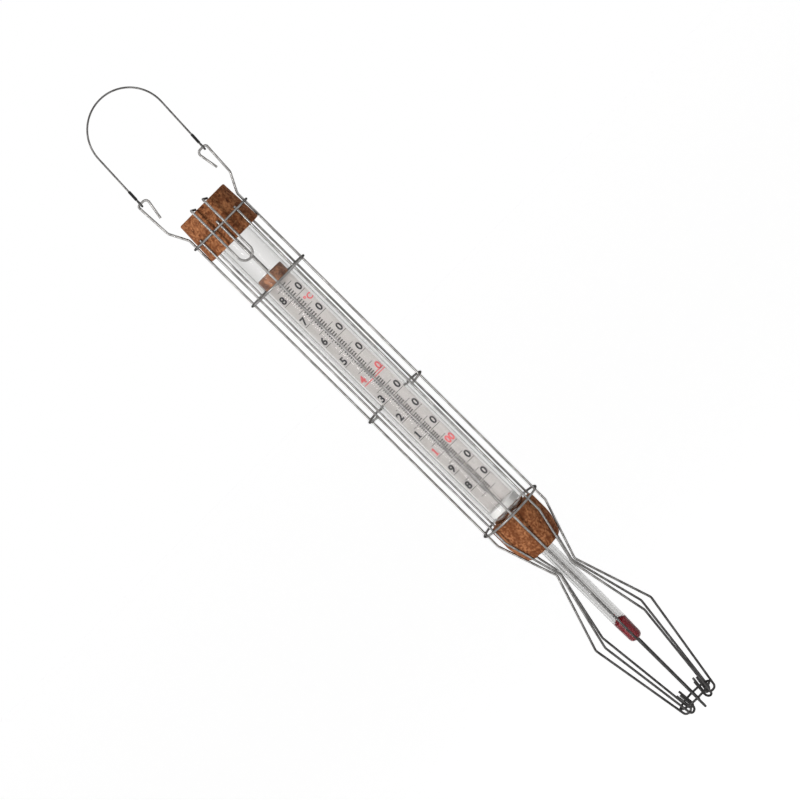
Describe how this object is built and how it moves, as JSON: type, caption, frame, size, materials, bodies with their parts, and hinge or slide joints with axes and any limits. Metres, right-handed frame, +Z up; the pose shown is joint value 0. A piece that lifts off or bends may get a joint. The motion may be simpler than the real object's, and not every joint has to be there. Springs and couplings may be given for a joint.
{
  "type": "caged glass sugar thermometer",
  "caption": "Enclosed-scale glass thermometer held by corks in a bulging wire cage, hung from a swinging wire bail.",
  "frame": {"origin": "on the cage's own axis, at the underside of the bail's crown, where a hanging peg bears", "axes": "+Z up along the thermometer, towards the hanger; the scale faces -Y and +X is to its reader's right"},
  "size_m": [0.0422, 0.0358, 0.3855],
  "materials": {
    "bail_wire": "drawn stainless spring wire",
    "black_sleeve": "shrunk plastic sleeve, satin black",
    "stainless_wire": "drawn stainless wire, spot welded",
    "cork": "natural reddish-brown cork",
    "clear_glass": "clear blown glass",
    "red_liquid": "red thermometric liquid",
    "scale_plate": "opal glass, printed in black and red",
    "white_pad": "white fibre pad"
  },
  "bodies": {
    "bail": {"bail_wire": "bail_wire", "bail_sleeve_left": "black_sleeve", "bail_sleeve_right": "black_sleeve"},
    "cage": {"hook_wire_left": "stainless_wire", "hook_wire_right": "stainless_wire", "cage_wire_front": "stainless_wire", "cage_wire_front_right": "stainless_wire", "cage_wire_back_right": "stainless_wire", "cage_wire_back": "stainless_wire", "cage_wire_back_left": "stainless_wire", "cage_wire_front_left": "stainless_wire", "ring_top": "stainless_wire", "ring_upper": "stainless_wire", "ring_middle": "stainless_wire", "ring_lower": "stainless_wire", "tip_ring": "stainless_wire", "cork_clip": "stainless_wire", "top_cork": "cork", "lower_cork": "cork", "inner_cork": "cork", "jacket_glass": "clear_glass", "capillary_tube": "clear_glass", "bulb_glass": "clear_glass", "bulb_liquid": "red_liquid", "liquid_thread": "red_liquid", "scale_plate": "scale_plate", "scale_seat": "white_pad"}
  },
  "joints": [
    {"name": "bail_swing", "type": "hinge", "parent": "bail", "child": "cage", "pos_m": [0, 0, -0.04586], "axis": [0.9989, 0, -0.0473], "range_deg": [-155, 155]}
  ]
}
